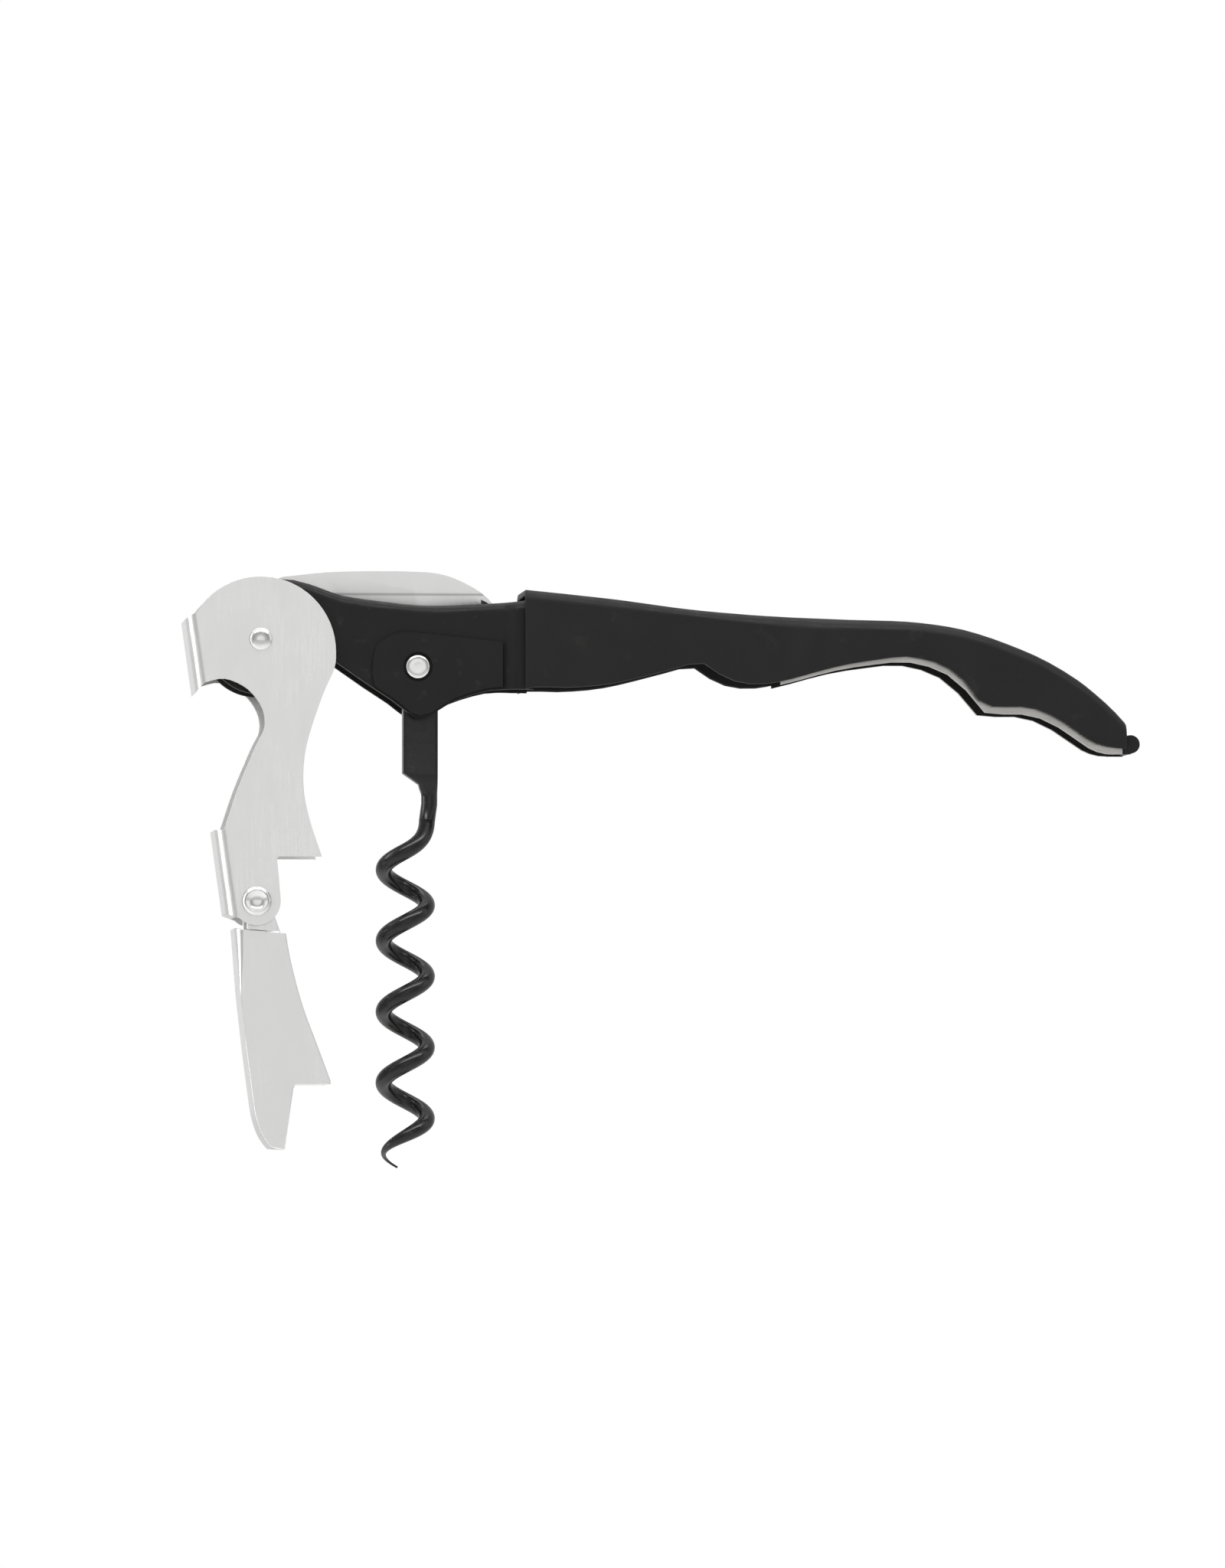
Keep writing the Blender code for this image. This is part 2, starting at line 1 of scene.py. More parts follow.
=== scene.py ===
"""Looks of a waiters corkscrew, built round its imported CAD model.

Shape functions work in millimetres, with the CAD's origin on the worm pin's axis.
X runs along the handle to its tip, Y across it and Z up. A mesh is in metres.
"""

import json
import math

import bmesh
import bpy
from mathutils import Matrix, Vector


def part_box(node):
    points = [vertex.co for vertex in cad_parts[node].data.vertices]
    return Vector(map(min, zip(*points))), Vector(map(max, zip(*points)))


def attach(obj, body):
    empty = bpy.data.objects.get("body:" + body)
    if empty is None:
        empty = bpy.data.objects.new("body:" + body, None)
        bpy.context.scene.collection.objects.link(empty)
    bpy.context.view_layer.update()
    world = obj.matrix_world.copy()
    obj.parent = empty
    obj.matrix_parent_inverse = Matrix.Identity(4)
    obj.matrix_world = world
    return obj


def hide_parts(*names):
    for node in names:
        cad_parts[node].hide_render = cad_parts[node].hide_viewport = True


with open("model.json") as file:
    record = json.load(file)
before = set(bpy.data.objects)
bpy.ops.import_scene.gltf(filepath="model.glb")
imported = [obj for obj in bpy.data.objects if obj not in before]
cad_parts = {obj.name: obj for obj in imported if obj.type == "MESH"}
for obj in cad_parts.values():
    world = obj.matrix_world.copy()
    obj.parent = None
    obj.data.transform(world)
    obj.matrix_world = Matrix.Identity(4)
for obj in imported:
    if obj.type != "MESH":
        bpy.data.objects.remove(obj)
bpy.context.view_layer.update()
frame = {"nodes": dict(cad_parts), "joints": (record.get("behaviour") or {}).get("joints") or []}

MM = 0.001
NODES = frame["nodes"]


def pivot(name):
    """Where a joint's axis crosses the XZ plane."""
    joint = next(joint for joint in frame["joints"] if joint["name"] == name)
    return joint["pos_m"][0] / MM, joint["pos_m"][2] / MM


def box(name):
    """A CAD node's lowest and highest corners, in millimetres."""
    low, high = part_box(name)
    return low / MM, high / MM


LEVER_PIVOT = pivot("lever_fold")
KNEE_PIVOT = pivot("lever_knee")
WORM_PIVOT = pivot("worm_fold")


# ---------------------------------------------------------------- materials

class Surface:
    """A material's node tree, with short calls for the nodes that the recipes below use."""

    def __init__(self, name):
        self.material = bpy.data.materials.new(name)
        self.material.use_nodes = True
        self.tree = self.material.node_tree
        self.shader = self.tree.nodes["Principled BSDF"]
        self.place = self.tree.nodes.new("ShaderNodeTexCoord").outputs["Object"]

    def link(self, source, target):
        self.tree.links.new(source, target)

    def set(self, **values):
        for name, value in values.items():
            self.shader.inputs[name.replace("_", " ")].default_value = value

    def stretched(self, stretch):
        mapping = self.tree.nodes.new("ShaderNodeMapping")
        mapping.inputs["Scale"].default_value = stretch
        self.link(self.place, mapping.inputs["Vector"])
        return mapping.outputs["Vector"]

    def noise(self, per_metre, detail=4.0, stretch=(1, 1, 1), roughness=0.55):
        node = self.tree.nodes.new("ShaderNodeTexNoise")
        node.inputs["Scale"].default_value = per_metre
        node.inputs["Detail"].default_value = detail
        node.inputs["Roughness"].default_value = roughness
        self.link(self.stretched(stretch), node.inputs["Vector"])
        return node.outputs["Fac"]

    def pits(self, per_metre):
        node = self.tree.nodes.new("ShaderNodeTexVoronoi")
        node.inputs["Scale"].default_value = per_metre
        self.link(self.stretched((1, 1, 1)), node.inputs["Vector"])
        return node.outputs["Distance"]

    def spread(self, source, low, high, to_low=0.0, to_high=1.0):
        """Stretch the part of a value between low and high to a new range, and clip the rest."""
        node = self.tree.nodes.new("ShaderNodeMapRange")
        for name, value in zip(("From Min", "From Max", "To Min", "To Max"), (low, high, to_low, to_high)):
            node.inputs[name].default_value = value
        self.link(source, node.inputs["Value"])
        return node.outputs["Result"]

    def math(self, operation, first, second):
        node = self.tree.nodes.new("ShaderNodeMath")
        node.operation = operation
        for socket, value in zip(node.inputs, (first, second)):
            if isinstance(value, (int, float)):
                socket.default_value = value
            else:
                self.link(value, socket)
        return node.outputs[0]

    def mix(self, share, first, second):
        """A colour between two colours, each a tuple or a socket."""
        node = self.tree.nodes.new("ShaderNodeMix")
        node.data_type = "RGBA"
        self.link(share, node.inputs["Factor"])
        for socket, colour in ((node.inputs[6], first), (node.inputs[7], second)):
            if isinstance(colour, tuple):
                socket.default_value = (*colour, 1.0)
            else:
                self.link(colour, socket)
        return node.outputs[2]

    def height(self):
        """The Z of the point at rest, in metres."""
        parts = self.tree.nodes.new("ShaderNodeSeparateXYZ")
        self.link(self.place, parts.inputs["Vector"])
        return parts.outputs["Z"]

    def colour(self, source):
        self.link(source, self.shader.inputs["Base Color"])

    def rough(self, source):
        self.link(source, self.shader.inputs["Roughness"])

    def bump(self, *layers):
        """Each layer is a height and its depth in metres, from coarse to fine."""
        normal = None
        for height, depth in layers:
            node = self.tree.nodes.new("ShaderNodeBump")
            node.inputs["Strength"].default_value = 1.0
            node.inputs["Distance"].default_value = depth
            self.link(height, node.inputs["Height"])
            if normal:
                self.link(normal, node.inputs["Normal"])
            normal = node.outputs["Normal"]
        self.link(normal, self.shader.inputs["Normal"])


def black_coat():
    """The body's thin satin black, with a faint orange peel and rubbed patches."""
    made = Surface("black_coat")
    made.set(Specular_IOR_Level=0.17, Metallic=0.0)
    cloud = made.noise(160, 3)
    rubbed = made.spread(made.noise(420, 5), 0.62, 0.74, 0.0, 0.35)
    base = made.mix(cloud, (0.0105, 0.0105, 0.0110), (0.0160, 0.0158, 0.0155))
    made.colour(made.mix(rubbed, base, (0.045, 0.044, 0.042)))
    made.rough(made.spread(made.noise(700, 6), 0.3, 0.7, 0.33, 0.46))
    made.bump((made.noise(1300, 3), 0.000012), (made.noise(5200, 3), 0.000004))
    return made.material


def grip_coat():
    """The grip cover's black: softer and a little coarser than the body's."""
    made = Surface("grip_coat")
    made.set(Specular_IOR_Level=0.17, Metallic=0.0)
    cloud = made.noise(120, 4)
    rubbed = made.spread(made.noise(300, 5), 0.62, 0.76, 0.0, 0.35)
    base = made.mix(cloud, (0.0120, 0.0120, 0.0125), (0.0185, 0.0183, 0.0180))
    made.colour(made.mix(rubbed, base, (0.040, 0.040, 0.039)))
    made.rough(made.spread(made.noise(500, 6), 0.3, 0.7, 0.38, 0.52))
    made.bump((made.noise(900, 3), 0.000014), (made.pits(3400), 0.000006))
    return made.material


def lever_nickel():
    """Nickel plate on rolled sheet: fine grain down the lever, hairline scratches, faint clouds."""
    made = Surface("lever_nickel")
    made.set(Metallic=1.0, Anisotropic=0.25)
    cloud = made.noise(90, 4)
    grain = made.noise(5200, 3, stretch=(1, 1, 0.05))
    hairlines = made.spread(made.noise(900, 8, stretch=(1, 1, 0.08), roughness=0.75), 0.60, 0.80)
    base = made.mix(cloud, (0.85, 0.85, 0.845), (0.89, 0.89, 0.885))
    made.colour(made.mix(made.spread(hairlines, 0, 1, 0, 0.16), base, (0.74, 0.74, 0.73)))
    gloss = made.spread(cloud, 0.3, 0.7, 0.24, 0.31)
    made.rough(made.math("ADD", gloss, made.spread(grain, 0.3, 0.7, 0, 0.06)))
    made.bump((made.noise(240, 2), 0.000006), (grain, 0.0000004), (hairlines, -0.0000002))
    return made.material


def bare_steel():
    """The body's bare steel, dull and slightly warm."""
    made = Surface("bare_steel")
    made.set(Metallic=1.0)
    cloud = made.noise(300, 5)
    made.colour(made.mix(cloud, (0.52, 0.505, 0.48), (0.66, 0.65, 0.63)))
    made.rough(made.spread(made.noise(1600, 4, stretch=(0.1, 1, 1)), 0.3, 0.7, 0.30, 0.44))
    made.bump((made.noise(2600, 4, stretch=(0.08, 1, 1)), 0.000003))
    return made.material


def rivet_steel():
    """Polished rivet heads with shallow dents from the press."""
    made = Surface("rivet_steel")
    made.set(Metallic=1.0)
    cloud = made.noise(900, 5)
    made.colour(made.mix(cloud, (0.80, 0.80, 0.79), (0.88, 0.88, 0.87)))
    made.rough(made.spread(made.noise(2400, 5), 0.3, 0.7, 0.13, 0.24))
    made.bump((made.noise(1500, 3), 0.000010), (made.noise(7000, 3), 0.000002))
    return made.material


def worm_coat():
    """Gloss black over drawn wire, a little uneven and rubbed in places."""
    made = Surface("worm_coat")
    made.set(Metallic=0.0, Specular_IOR_Level=0.36, Coat_Weight=0.15, Coat_Roughness=0.2)
    cloud = made.noise(260, 4)
    rubbed = made.spread(made.noise(650, 7, roughness=0.7), 0.60, 0.72)
    base = made.mix(cloud, (0.0050, 0.0050, 0.0052), (0.0100, 0.0100, 0.0100))
    made.colour(made.mix(rubbed, base, (0.035, 0.034, 0.033)))
    made.rough(made.spread(made.noise(1100, 5), 0.3, 0.7, 0.20, 0.34))
    made.bump((made.noise(500, 2), 0.000008))
    return made.material


GRIND_HEIGHT = 9.6              # where the knife's grind meets its back, in millimetres at rest


def blade_steel():
    """A ground blade: fine lines, clouds where it was handled, and a dark line of painted shade at the
    grind's edge.
    """
    made = Surface("blade_steel")
    made.set(Metallic=1.0, Anisotropic=0.3)
    cloud = made.noise(150, 4)
    lines = made.noise(6200, 3, stretch=(1, 1, 0.04))
    ground = made.mix(cloud, (0.87, 0.87, 0.865), (0.92, 0.92, 0.915))
    off_line = made.math("ABSOLUTE", made.math("SUBTRACT", made.height(), GRIND_HEIGHT * MM), 0.0)
    # Painted shade: the colour darkens along a thin line at the grind's edge. It stands in for the shading a
    # groove there would get.
    painted_grind_shade = made.spread(off_line, 0.00006, 0.00024, 0.75, 0.0)
    made.colour(made.mix(painted_grind_shade, ground, (0.42, 0.42, 0.42)))
    gloss = made.spread(cloud, 0.3, 0.7, 0.27, 0.35)
    made.rough(made.math("ADD", gloss, made.spread(lines, 0.3, 0.7, 0, 0.08)))
    made.bump((lines, 0.0000018))
    return made.material


def spring_steel():
    """Blued spring steel with rolling marks along it."""
    made = Surface("spring_steel")
    made.set(Metallic=1.0)
    cloud = made.noise(420, 5)
    made.colour(made.mix(cloud, (0.30, 0.31, 0.34), (0.46, 0.46, 0.48)))
    made.rough(made.spread(made.noise(1900, 4), 0.3, 0.7, 0.26, 0.42))
    made.bump((made.noise(3800, 3, stretch=(0.1, 1, 1)), 0.000002))
    return made.material


def bush_brass():
    """Turned brass with brown tarnish."""
    made = Surface("bush_brass")
    made.set(Metallic=1.0)
    tarnish = made.spread(made.noise(700, 6), 0.42, 0.66)
    made.colour(made.mix(tarnish, (0.80, 0.61, 0.28), (0.52, 0.36, 0.16)))
    made.rough(made.spread(made.noise(1500, 5), 0.3, 0.7, 0.24, 0.44))
    made.bump((made.noise(5200, 3, stretch=(1, 0.06, 1)), 0.000003))
    return made.material


RECIPES = (black_coat, grip_coat, lever_nickel, bare_steel, rivet_steel, worm_coat, blade_steel,
           spring_steel, bush_brass)
MATERIALS = {recipe.__name__: recipe() for recipe in RECIPES}


# ---------------------------------------------------------------- shape tools

def arc(centre, radius, start, end, steps):
    """Points on an arc, with its angles in degrees from +X towards +Z."""
    angles = [math.radians(start + (end - start) * step / steps) for step in range(steps + 1)]
    return [(centre[0] + radius * math.cos(angle), centre[1] + radius * math.sin(angle)) for angle in angles]


def ease(value, low, high):
    """0 up to low and 1 from high on, with a smooth change between them."""
    share = min(1.0, max(0.0, (value - low) / (high - low)))
    return share * share * (3 - 2 * share)


def evenly(start, end, step):
    count = max(1, round(abs(end - start) / step))
    return [start + (end - start) * index / count for index in range(count + 1)]


def loft(sections):
    """Join rings of points with the same number of points, and close both ends."""
    bm = bmesh.new()
    rings = [[bm.verts.new(point) for point in section] for section in sections]
    for ring, following in zip(rings, rings[1:]):
        for index in range(len(ring)):
            after = (index + 1) % len(ring)
            bm.faces.new((ring[index], ring[after], following[after], following[index]))
    bm.faces.new(reversed(rings[0]))
    bm.faces.new(rings[-1])
    return bm


def prism(outline, y_low, y_high):
    return loft([[(x, y, z) for x, z in outline] for y in (y_low, y_high)])


def mesh_object(name, bm):
    """Turn a bmesh in millimetres into an object in metres, with its faces outwards."""
    bmesh.ops.recalc_face_normals(bm, faces=bm.faces)
    if bm.calc_volume(signed=True) < 0:
        bmesh.ops.reverse_faces(bm, faces=bm.faces)
    bmesh.ops.scale(bm, vec=(MM, MM, MM), verts=bm.verts)
    mesh = bpy.data.meshes.new(name)
    bm.to_mesh(mesh)
    bm.free()
    made = bpy.data.objects.new(name, mesh)
    bpy.context.scene.collection.objects.link(made)
    return made


def apply_modifiers(made):
    """Give an object the mesh that its modifiers make, and drop the modifiers."""
    bpy.context.view_layer.update()
    shaped = made.evaluated_get(bpy.context.evaluated_depsgraph_get())
    mesh = bpy.data.meshes.new_from_object(shaped)
    made.modifiers.clear()
    made.data = mesh


def combine(target, tool, operation):
    """Join a tool to a target, or cut it away, and remove the tool."""
    step = target.modifiers.new("combine", "BOOLEAN")
    step.object = tool
    step.operation = operation
    step.solver = "EXACT"
    apply_modifiers(target)
    bpy.data.objects.remove(tool, do_unlink=True)


def merge_flat_faces(mesh, angle=0.6):
    """Turn the triangles of a flat face back into one face."""
    bm = bmesh.new()
    bm.from_mesh(mesh)
    bmesh.ops.remove_doubles(bm, verts=bm.verts, dist=0.000004)
    bmesh.ops.dissolve_limit(bm, angle_limit=math.radians(angle), verts=bm.verts, edges=bm.edges)
    bm.to_mesh(mesh)
    bm.free()


def round_edges(made, width, segments=2, angle=38):
    """Round every sharp edge a little, and shade what lies between them smooth."""
    step = made.modifiers.new("edges", "BEVEL")
    step.width = width * MM
    step.segments = segments
    step.limit_method = "ANGLE"
    step.angle_limit = math.radians(angle)
    step.use_clamp_overlap = True
    step.harden_normals = False
    apply_modifiers(made)
    made.data.shade_smooth()
    normals = made.modifiers.new("flat faces stay flat", "WEIGHTED_NORMAL")
    normals.keep_sharp = True
    normals.weight = 80


def refined(node, name, width, segments=2, angle=38):
    """A CAD node's own shape with its sheet edges rounded."""
    made = bpy.data.objects.new(name, NODES[node].data.copy())
    made.data.materials.clear()
    bpy.context.scene.collection.objects.link(made)
    merge_flat_faces(made.data)
    round_edges(made, width, segments, angle)
    return made


def finish_piece(made, node, body, slot):
    """Put a piece on its body in place of its CAD node, with the slot's material if it has none yet."""
    if not made.data.materials:
        made.data.materials.append(MATERIALS[slot])
    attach(made, body)
    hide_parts(node)


def whole_turn(sides):
    """The angles of the corners of a ring."""
    return [2 * math.pi * step / sides for step in range(sides)]


def shade_turned(made, angle=42):
    made.data.shade_smooth()
    made.data.set_sharp_from_angle(angle=math.radians(angle))


def turned(name, centre, profile, sides=64):
    """A piece turned about an axis along Y, from (y, radius) points."""
    x, z = centre
    rings = [[(x + radius * math.cos(a), y, z + radius * math.sin(a)) for a in whole_turn(sides)]
             for y, radius in profile]
    made = mesh_object(name, loft(rings))
    shade_turned(made)
    return made


# ---------------------------------------------------------------- body and grip

SHEET_EDGE = 0.22               # how far the edges of the body and the cover are rounded
STRIP_START = 46.7              # the bare steel shows from here to the tip
TIP_LENGTH = 1.0                # the rolled tip, black again, starts this far before the cover's end
RIM_FROM_MIDDLE = 3.0           # the walls' lower rims lie outside this


def build_body():
    """The folded steel body: black, with a bare outer strip where it shows below the grip."""
    made = refined("body_frame", "body", SHEET_EDGE, segments=3)
    cover_high = box("grip_cover")[1]
    made.data.materials.append(MATERIALS["black_coat"])
    made.data.materials.append(MATERIALS["bare_steel"])
    for face in made.data.polygons:
        centre = face.center / MM
        under_cover = centre.x > STRIP_START
        outward = face.normal.y * (1 if centre.y > 0 else -1) > 0.3
        rim = face.normal.z < -0.5 and abs(centre.y) > RIM_FROM_MIDDLE
        tip = centre.x > cover_high.x - TIP_LENGTH
        if under_cover and (outward or rim) and not tip:
            face.material_index = 1
    finish_piece(made, "body_frame", "handle", "black_coat")


def build_cover():
    made = refined("grip_cover", "cover", SHEET_EDGE, segments=3)
    finish_piece(made, "grip_cover", "handle", "grip_coat")


def build_levers():
    for node, name, edge in (("upper_lever", "first_lever", 0.26), ("lower_lever", "second_lever", 0.22)):
        finish_piece(refined(node, name, edge, segments=3), node, node, "lever_nickel")


# ---------------------------------------------------------------- worm

WIRE = 1.05                     # radius of the wire
COIL = 2.8                      # radius of the coil, to the middle of the wire
COIL_X = -1.25
COIL_TOP = -21.4
PITCH = 9.2
TURNS = 4.7
STEPS_A_TURN = 56
LEAD_HEIGHT = 2.1               # the first part of a turn is steeper by this
LEAD_ANGLE = math.radians(110)
TAPER_START = 0.86              # share of the wire before it tapers to the tip
TIP_TAPER = 0.86                # share of its radius that the wire loses there
RING_SIDES = 36
EYE_RADIUS = 3.0
BORE_RADIUS = 1.4
SHANK_LEFT = -1.65
SHANK_RIGHT = 2.9
SHANK_HALF = 1.5
SHANK_CORNER = -13.6            # where the shank's left side turns in to the wire
SLANT_HEIGHT = 1.5
SHANK_FOOT = 0.45               # where that slant ends
NECK = -16.6                    # the shank has become the wire here
COIL_START = -17.6


def wire_points():
    """From the shank's neck down into the coil, then round it to the tip."""
    neck_x = SHANK_RIGHT - WIRE
    path = [(neck_x, 0.0, z) for z in evenly(NECK, COIL_START, 0.5)]
    steps = int(TURNS * STEPS_A_TURN)
    for index in range(1, steps + 1):
        turn = 2 * math.pi * TURNS * index / steps
        lead = LEAD_HEIGHT * max(0.0, 1 - turn / LEAD_ANGLE) ** 3
        path.append((COIL_X + COIL * math.cos(turn), -COIL * math.sin(turn),
                     COIL_TOP + lead - PITCH * turn / (2 * math.pi)))
    return path


def wire_rings(path):
    """Round rings square to the path, smaller towards the tip."""
    rings = []
    side = Vector((1, 0, 0))
    for index, point in enumerate(path):
        ahead = Vector(path[min(index + 1, len(path) - 1)])
        behind = Vector(path[max(index - 1, 0)])
        along = (ahead - behind).normalized()
        side = (side - along * side.dot(along)).normalized()
        other = along.cross(side)
        radius = WIRE * (1 - TIP_TAPER * ease(index / (len(path) - 1), TAPER_START, 1.0))
        rings.append([Vector(point) + side * (radius * math.cos(a)) + other * (radius * math.sin(a))
                      for a in whole_turn(RING_SIDES)])
    return rings


def shank_left(z):
    """Where the shank's left side is at a height: straight, then a slant, then in to the wire."""
    slant = min(1.0, max(0.0, (SHANK_CORNER - z) / SLANT_HEIGHT))
    if slant < 1:
        return SHANK_LEFT + (SHANK_FOOT - SHANK_LEFT) * slant
    left_wire = SHANK_RIGHT - 2 * WIRE
    return left_wire + (SHANK_FOOT - left_wire) * ease(z, NECK, SHANK_CORNER - SLANT_HEIGHT)


def shank_ring(z):
    """The shank's outline at a height: a rectangle with round corners that becomes the wire's circle."""
    squareness = ease(z, NECK, SHANK_CORNER) if z < SHANK_CORNER else 1.0
    left = shank_left(z)
    half = WIRE + (SHANK_HALF - WIRE) * squareness
    power = 2 / (2 + 10 * squareness)
    ring = []
    for angle in whole_turn(RING_SIDES):
        c, s = math.cos(angle), -math.sin(angle)
        across = math.copysign(abs(c) ** power, c)
        ring.append(((left + SHANK_RIGHT) / 2 + (SHANK_RIGHT - left) / 2 * across,
                     half * math.copysign(abs(s) ** power, s), z))
    return ring


def build_worm():
    """The shank and the wire in one loft, joined to a round eye with the pin's bore through it."""
    heights = [-1.0, -4.0, -8.0, -12.0, -12.8] + evenly(-13.1, NECK + 0.1, 0.16)
    rings = [shank_ring(z) for z in heights]
    made = mesh_object("worm_and_shank", loft(rings + wire_rings(wire_points())))
    eye = mesh_object("eye", prism(arc(WORM_PIVOT, EYE_RADIUS, 0, 350, 35), -SHANK_HALF, SHANK_HALF))
    combine(made, eye, "UNION")
    bore = mesh_object("bore", prism(arc(WORM_PIVOT, BORE_RADIUS, 0, 352.5, 47), -4, 4))
    combine(made, bore, "DIFFERENCE")
    shade_turned(made, 40)
    finish_piece(made, "worm", "worm", "worm_coat")


# ---------------------------------------------------------------- knife

def build_knife():
    made = refined("knife_blade", "foil_knife", 0.05, angle=25)
    finish_piece(made, "knife_blade", "knife", "blade_steel")


# ---------------------------------------------------------------- rivets and small parts

RIVET_HEAD = 0.6                # height of a lever rivet's head
PIN_HEAD = 0.35


def head_seat(node, head):
    """How far from the middle the underside of a rivet's head is."""
    return box(node)[1].y - head


def mirrored(half):
    """A whole profile from its near half, given from the end inwards."""
    return half + [(-y, radius) for y, radius in reversed(half)]


def raised(seat, points):
    """Profile points given as heights above the seat."""
    return [(seat + height, radius) for height, radius in points]


def build_rivets():
    """A domed lever rivet, a dished knee rivet and a flatter worm pin."""
    angles = [math.radians(degrees) for degrees in range(84, -1, -12)]
    dome = [(0.58 * math.sin(a), 1.45 * math.cos(a)) for a in angles] + [(0, 1.0), (-0.3, 0.95)]
    profile = mirrored(raised(head_seat("lever_rivet", RIVET_HEAD), dome))
    finish_piece(turned("lever_rivet_turned", LEVER_PIVOT, profile), "lever_rivet", "pivot", "rivet_steel")
    dish = [(0.05, 0.15), (0.08, 0.6), (0.18, 0.95), (0.45, 1.2), (0.58, 1.38), (0.56, 1.55), (0.4, 1.75),
            (0.15, 1.88), (0, 1.9), (0, 0.9)]
    profile = mirrored(raised(head_seat("hinge_rivet", RIVET_HEAD), dish))
    made = turned("knee_rivet_turned", KNEE_PIVOT, profile)
    finish_piece(made, "hinge_rivet", "upper_lever", "rivet_steel")
    low_dome = [(0.30, 0.1), (0.33, 0.55), (0.34, 0.95), (0.30, 1.25), (0.2, 1.47), (0.05, 1.58), (0, 1.6),
                (0, 1.1)]
    profile = mirrored(raised(head_seat("worm_pin", PIN_HEAD), low_dome))
    finish_piece(turned("worm_pin_turned", WORM_PIVOT, profile), "worm_pin", "handle", "rivet_steel")


def build_small_parts():
    """The pieces inside the body: node, name, how far its edges are rounded, and slot."""
    parts = [("knife_pin", "knife_pin_turned", 0.15, "rivet_steel"),
             ("spring_rivet", "spring_rivet_turned", 0.08, "rivet_steel"),
             ("worm_spring", "worm_leaf", 0.08, "spring_steel")]
    for node in ("worm_bush_near", "worm_bush_far", "knife_bush_near", "knife_bush_far"):
        parts.append((node, f"{node}_turned", 0.1, "bush_brass"))
    for node, name, edge, slot in parts:
        finish_piece(refined(node, name, edge), node, "handle", slot)


# ---------------------------------------------------------------- studio

VIEW_AZIMUTH = -4.8             # degrees, from the lever's end
VIEW_ELEVATION = -2.0           # degrees, from below
VIEW_CENTRE = (0.0257, 0.0, -0.0149)
LENS = 260.0
SENSOR = 36.0
FRAME_HEIGHT = 0.2036           # what the frame's height covers at the object, in metres
FLOOR_HEIGHT = -0.34
FLOOR_RADIUS = 6.0


def flat_material(name, colour, roughness=0.9):
    material = bpy.data.materials.new(name)
    material.use_nodes = True
    shader = material.node_tree.nodes["Principled BSDF"]
    shader.inputs["Base Color"].default_value = (*colour, 1.0)
    shader.inputs["Roughness"].default_value = roughness
    return material


def build_floor():
    """A plain pale floor, low enough for a view that looks up a little."""
    bm = bmesh.new()
    bmesh.ops.create_circle(bm, cap_ends=True, segments=96, radius=FLOOR_RADIUS)
    bmesh.ops.translate(bm, vec=(0, 0, FLOOR_HEIGHT), verts=bm.verts)
    mesh = bpy.data.meshes.new("floor")
    bm.to_mesh(mesh)
    bm.free()
    floor = bpy.data.objects.new("floor", mesh)
    floor.data.materials.append(flat_material("pale_floor", (0.86, 0.86, 0.85)))
    bpy.context.scene.collection.objects.link(floor)


def area_light(name, place, size, power):
    """A soft rectangular light that faces the object."""
    aim = (0.02, 0, -0.01)
    light = bpy.data.lights.new(name, "AREA")
    light.shape = "RECTANGLE"
    light.size, light.size_y = size
    light.energy = power
    made = bpy.data.objects.new(name, light)
    made.location = place
    made.rotation_euler = (Vector(aim) - Vector(place)).to_track_quat("-Z", "Y").to_euler()
    bpy.context.scene.collection.objects.link(made)


# How bright the room is, by the Y and the Z of a direction from -1 to 1.
FRONT_TO_BACK = ((-1.0, 1.20), (-0.975, 1.10), (-0.92, 0.60), (-0.75, 0.40), (-0.5, 0.75), (-0.15, 1.35),
                 (0.3, 0.70), (0.7, 0.74), (1.0, 1.0))
DOWN_TO_UP = ((-1.0, 0.6), (-0.3, 0.75), (-0.1, 0.95), (0.12, 1.0), (0.5, 0.95), (1.0, 0.8))


def value_ramp(tree, source, stops):
    """Strengths at stops from -1 to 1, with smooth changes between them."""
    spread = tree.nodes.new("ShaderNodeMapRange")
    spread.inputs["From Min"].default_value = -1.0
    spread.inputs["From Max"].default_value = 1.0
    tree.links.new(source, spread.inputs["Value"])
    ramp = tree.nodes.new("ShaderNodeValToRGB")
    ramp.color_ramp.interpolation = "EASE"
    while len(ramp.color_ramp.elements) < len(stops):
        ramp.color_ramp.elements.new(0.5)
    strongest = max(value for _, value in stops)
    for element, (place, value) in zip(ramp.color_ramp.elements, stops):
        element.position = (place + 1) / 2
        element.color = (*(value / strongest,) * 3, 1.0)
    tree.links.new(spread.outputs["Result"], ramp.inputs["Fac"])
    scale = tree.nodes.new("ShaderNodeMath")
    scale.operation = "MULTIPLY"
    scale.inputs[1].default_value = strongest
    tree.links.new(ramp.outputs["Color"], scale.inputs[0])
    return scale.outputs[0]


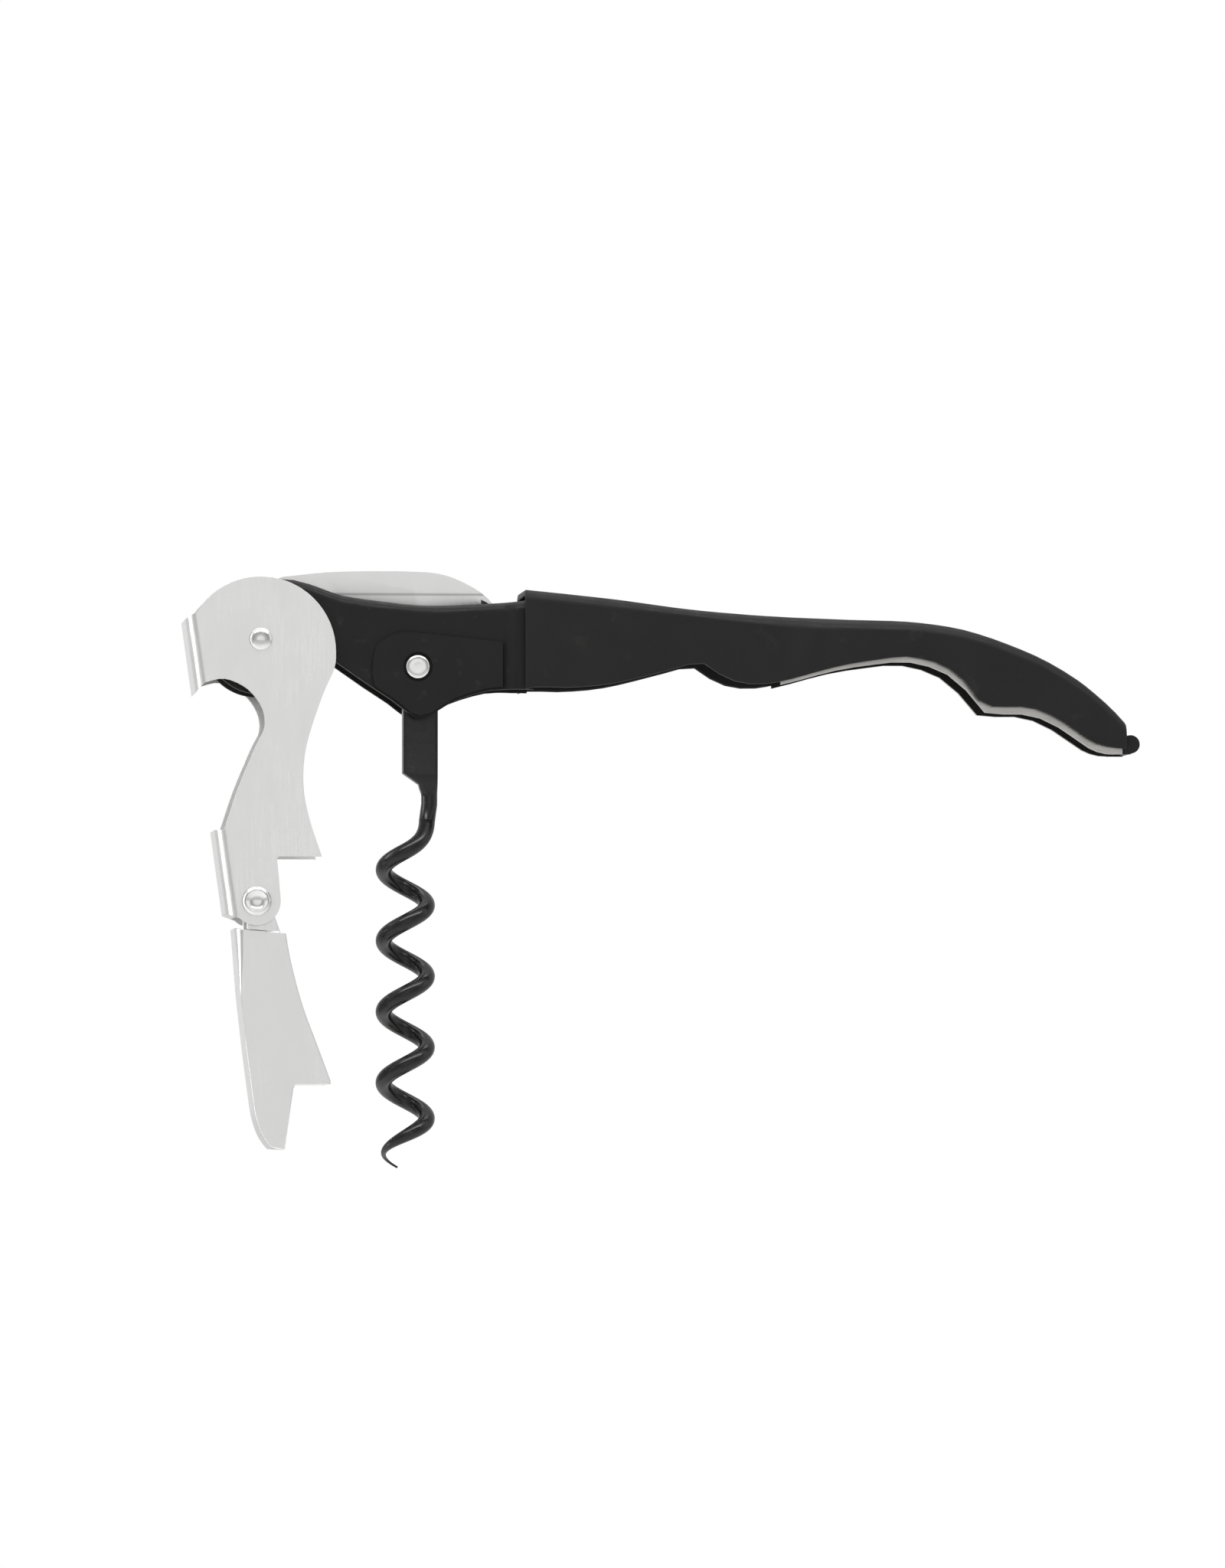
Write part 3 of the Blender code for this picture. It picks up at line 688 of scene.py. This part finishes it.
def build_world():
    """White where the camera sees it. What lights the object is dimmer between the front and the sides."""
    world = bpy.data.worlds.new("studio")
    bpy.context.scene.world = world
    world.use_nodes = True
    tree = world.node_tree
    tree.nodes.clear()
    out = tree.nodes.new("ShaderNodeOutputWorld")
    seen = tree.nodes.new("ShaderNodeBackground")
    seen.inputs["Color"].default_value = (1.0, 1.0, 1.0, 1.0)
    lit = tree.nodes.new("ShaderNodeBackground")
    place = tree.nodes.new("ShaderNodeTexCoord")
    parts = tree.nodes.new("ShaderNodeSeparateXYZ")
    tree.links.new(place.outputs["Generated"], parts.inputs["Vector"])
    along_view = value_ramp(tree, parts.outputs["Y"], FRONT_TO_BACK)
    upright = value_ramp(tree, parts.outputs["Z"], DOWN_TO_UP)
    both = tree.nodes.new("ShaderNodeMath")
    both.operation = "MULTIPLY"
    tree.links.new(along_view, both.inputs[0])
    tree.links.new(upright, both.inputs[1])
    tree.links.new(both.outputs[0], lit.inputs["Strength"])
    choose = tree.nodes.new("ShaderNodeMixShader")
    path = tree.nodes.new("ShaderNodeLightPath")
    tree.links.new(path.outputs["Is Camera Ray"], choose.inputs["Fac"])
    tree.links.new(lit.outputs["Background"], choose.inputs[1])
    tree.links.new(seen.outputs["Background"], choose.inputs[2])
    tree.links.new(choose.outputs["Shader"], out.inputs["Surface"])


def build_camera():
    """The photograph's view: nearly level, a little from the lever's end and from below."""
    azimuth = math.radians(VIEW_AZIMUTH)
    elevation = math.radians(VIEW_ELEVATION)
    back = Vector((math.sin(azimuth) * math.cos(elevation), -math.cos(azimuth) * math.cos(elevation),
                   math.sin(elevation)))
    data = bpy.data.cameras.new("camera")
    data.lens = LENS
    data.sensor_width = SENSOR
    camera = bpy.data.objects.new("camera", data)
    camera.location = Vector(VIEW_CENTRE) + back * (FRAME_HEIGHT * LENS / SENSOR)
    camera.rotation_euler = (-back).to_track_quat("-Z", "Y").to_euler()
    bpy.context.scene.collection.objects.link(camera)
    bpy.context.scene.camera = camera


def build_studio():
    build_floor()
    build_world()
    area_light("key", (0.03, -0.45, 0.60), (1.1, 0.16), 4.4)
    area_light("left_strip", (-0.75, 0.02, 0.10), (0.14, 0.8), 2.2)
    area_light("top", (0.05, 0.15, 0.7), (0.7, 0.3), 2.0)
    bpy.context.scene.view_settings.view_transform = "Standard"
    build_camera()


build_body()
build_cover()
build_levers()
build_worm()
build_knife()
build_rivets()
build_small_parts()
build_studio()
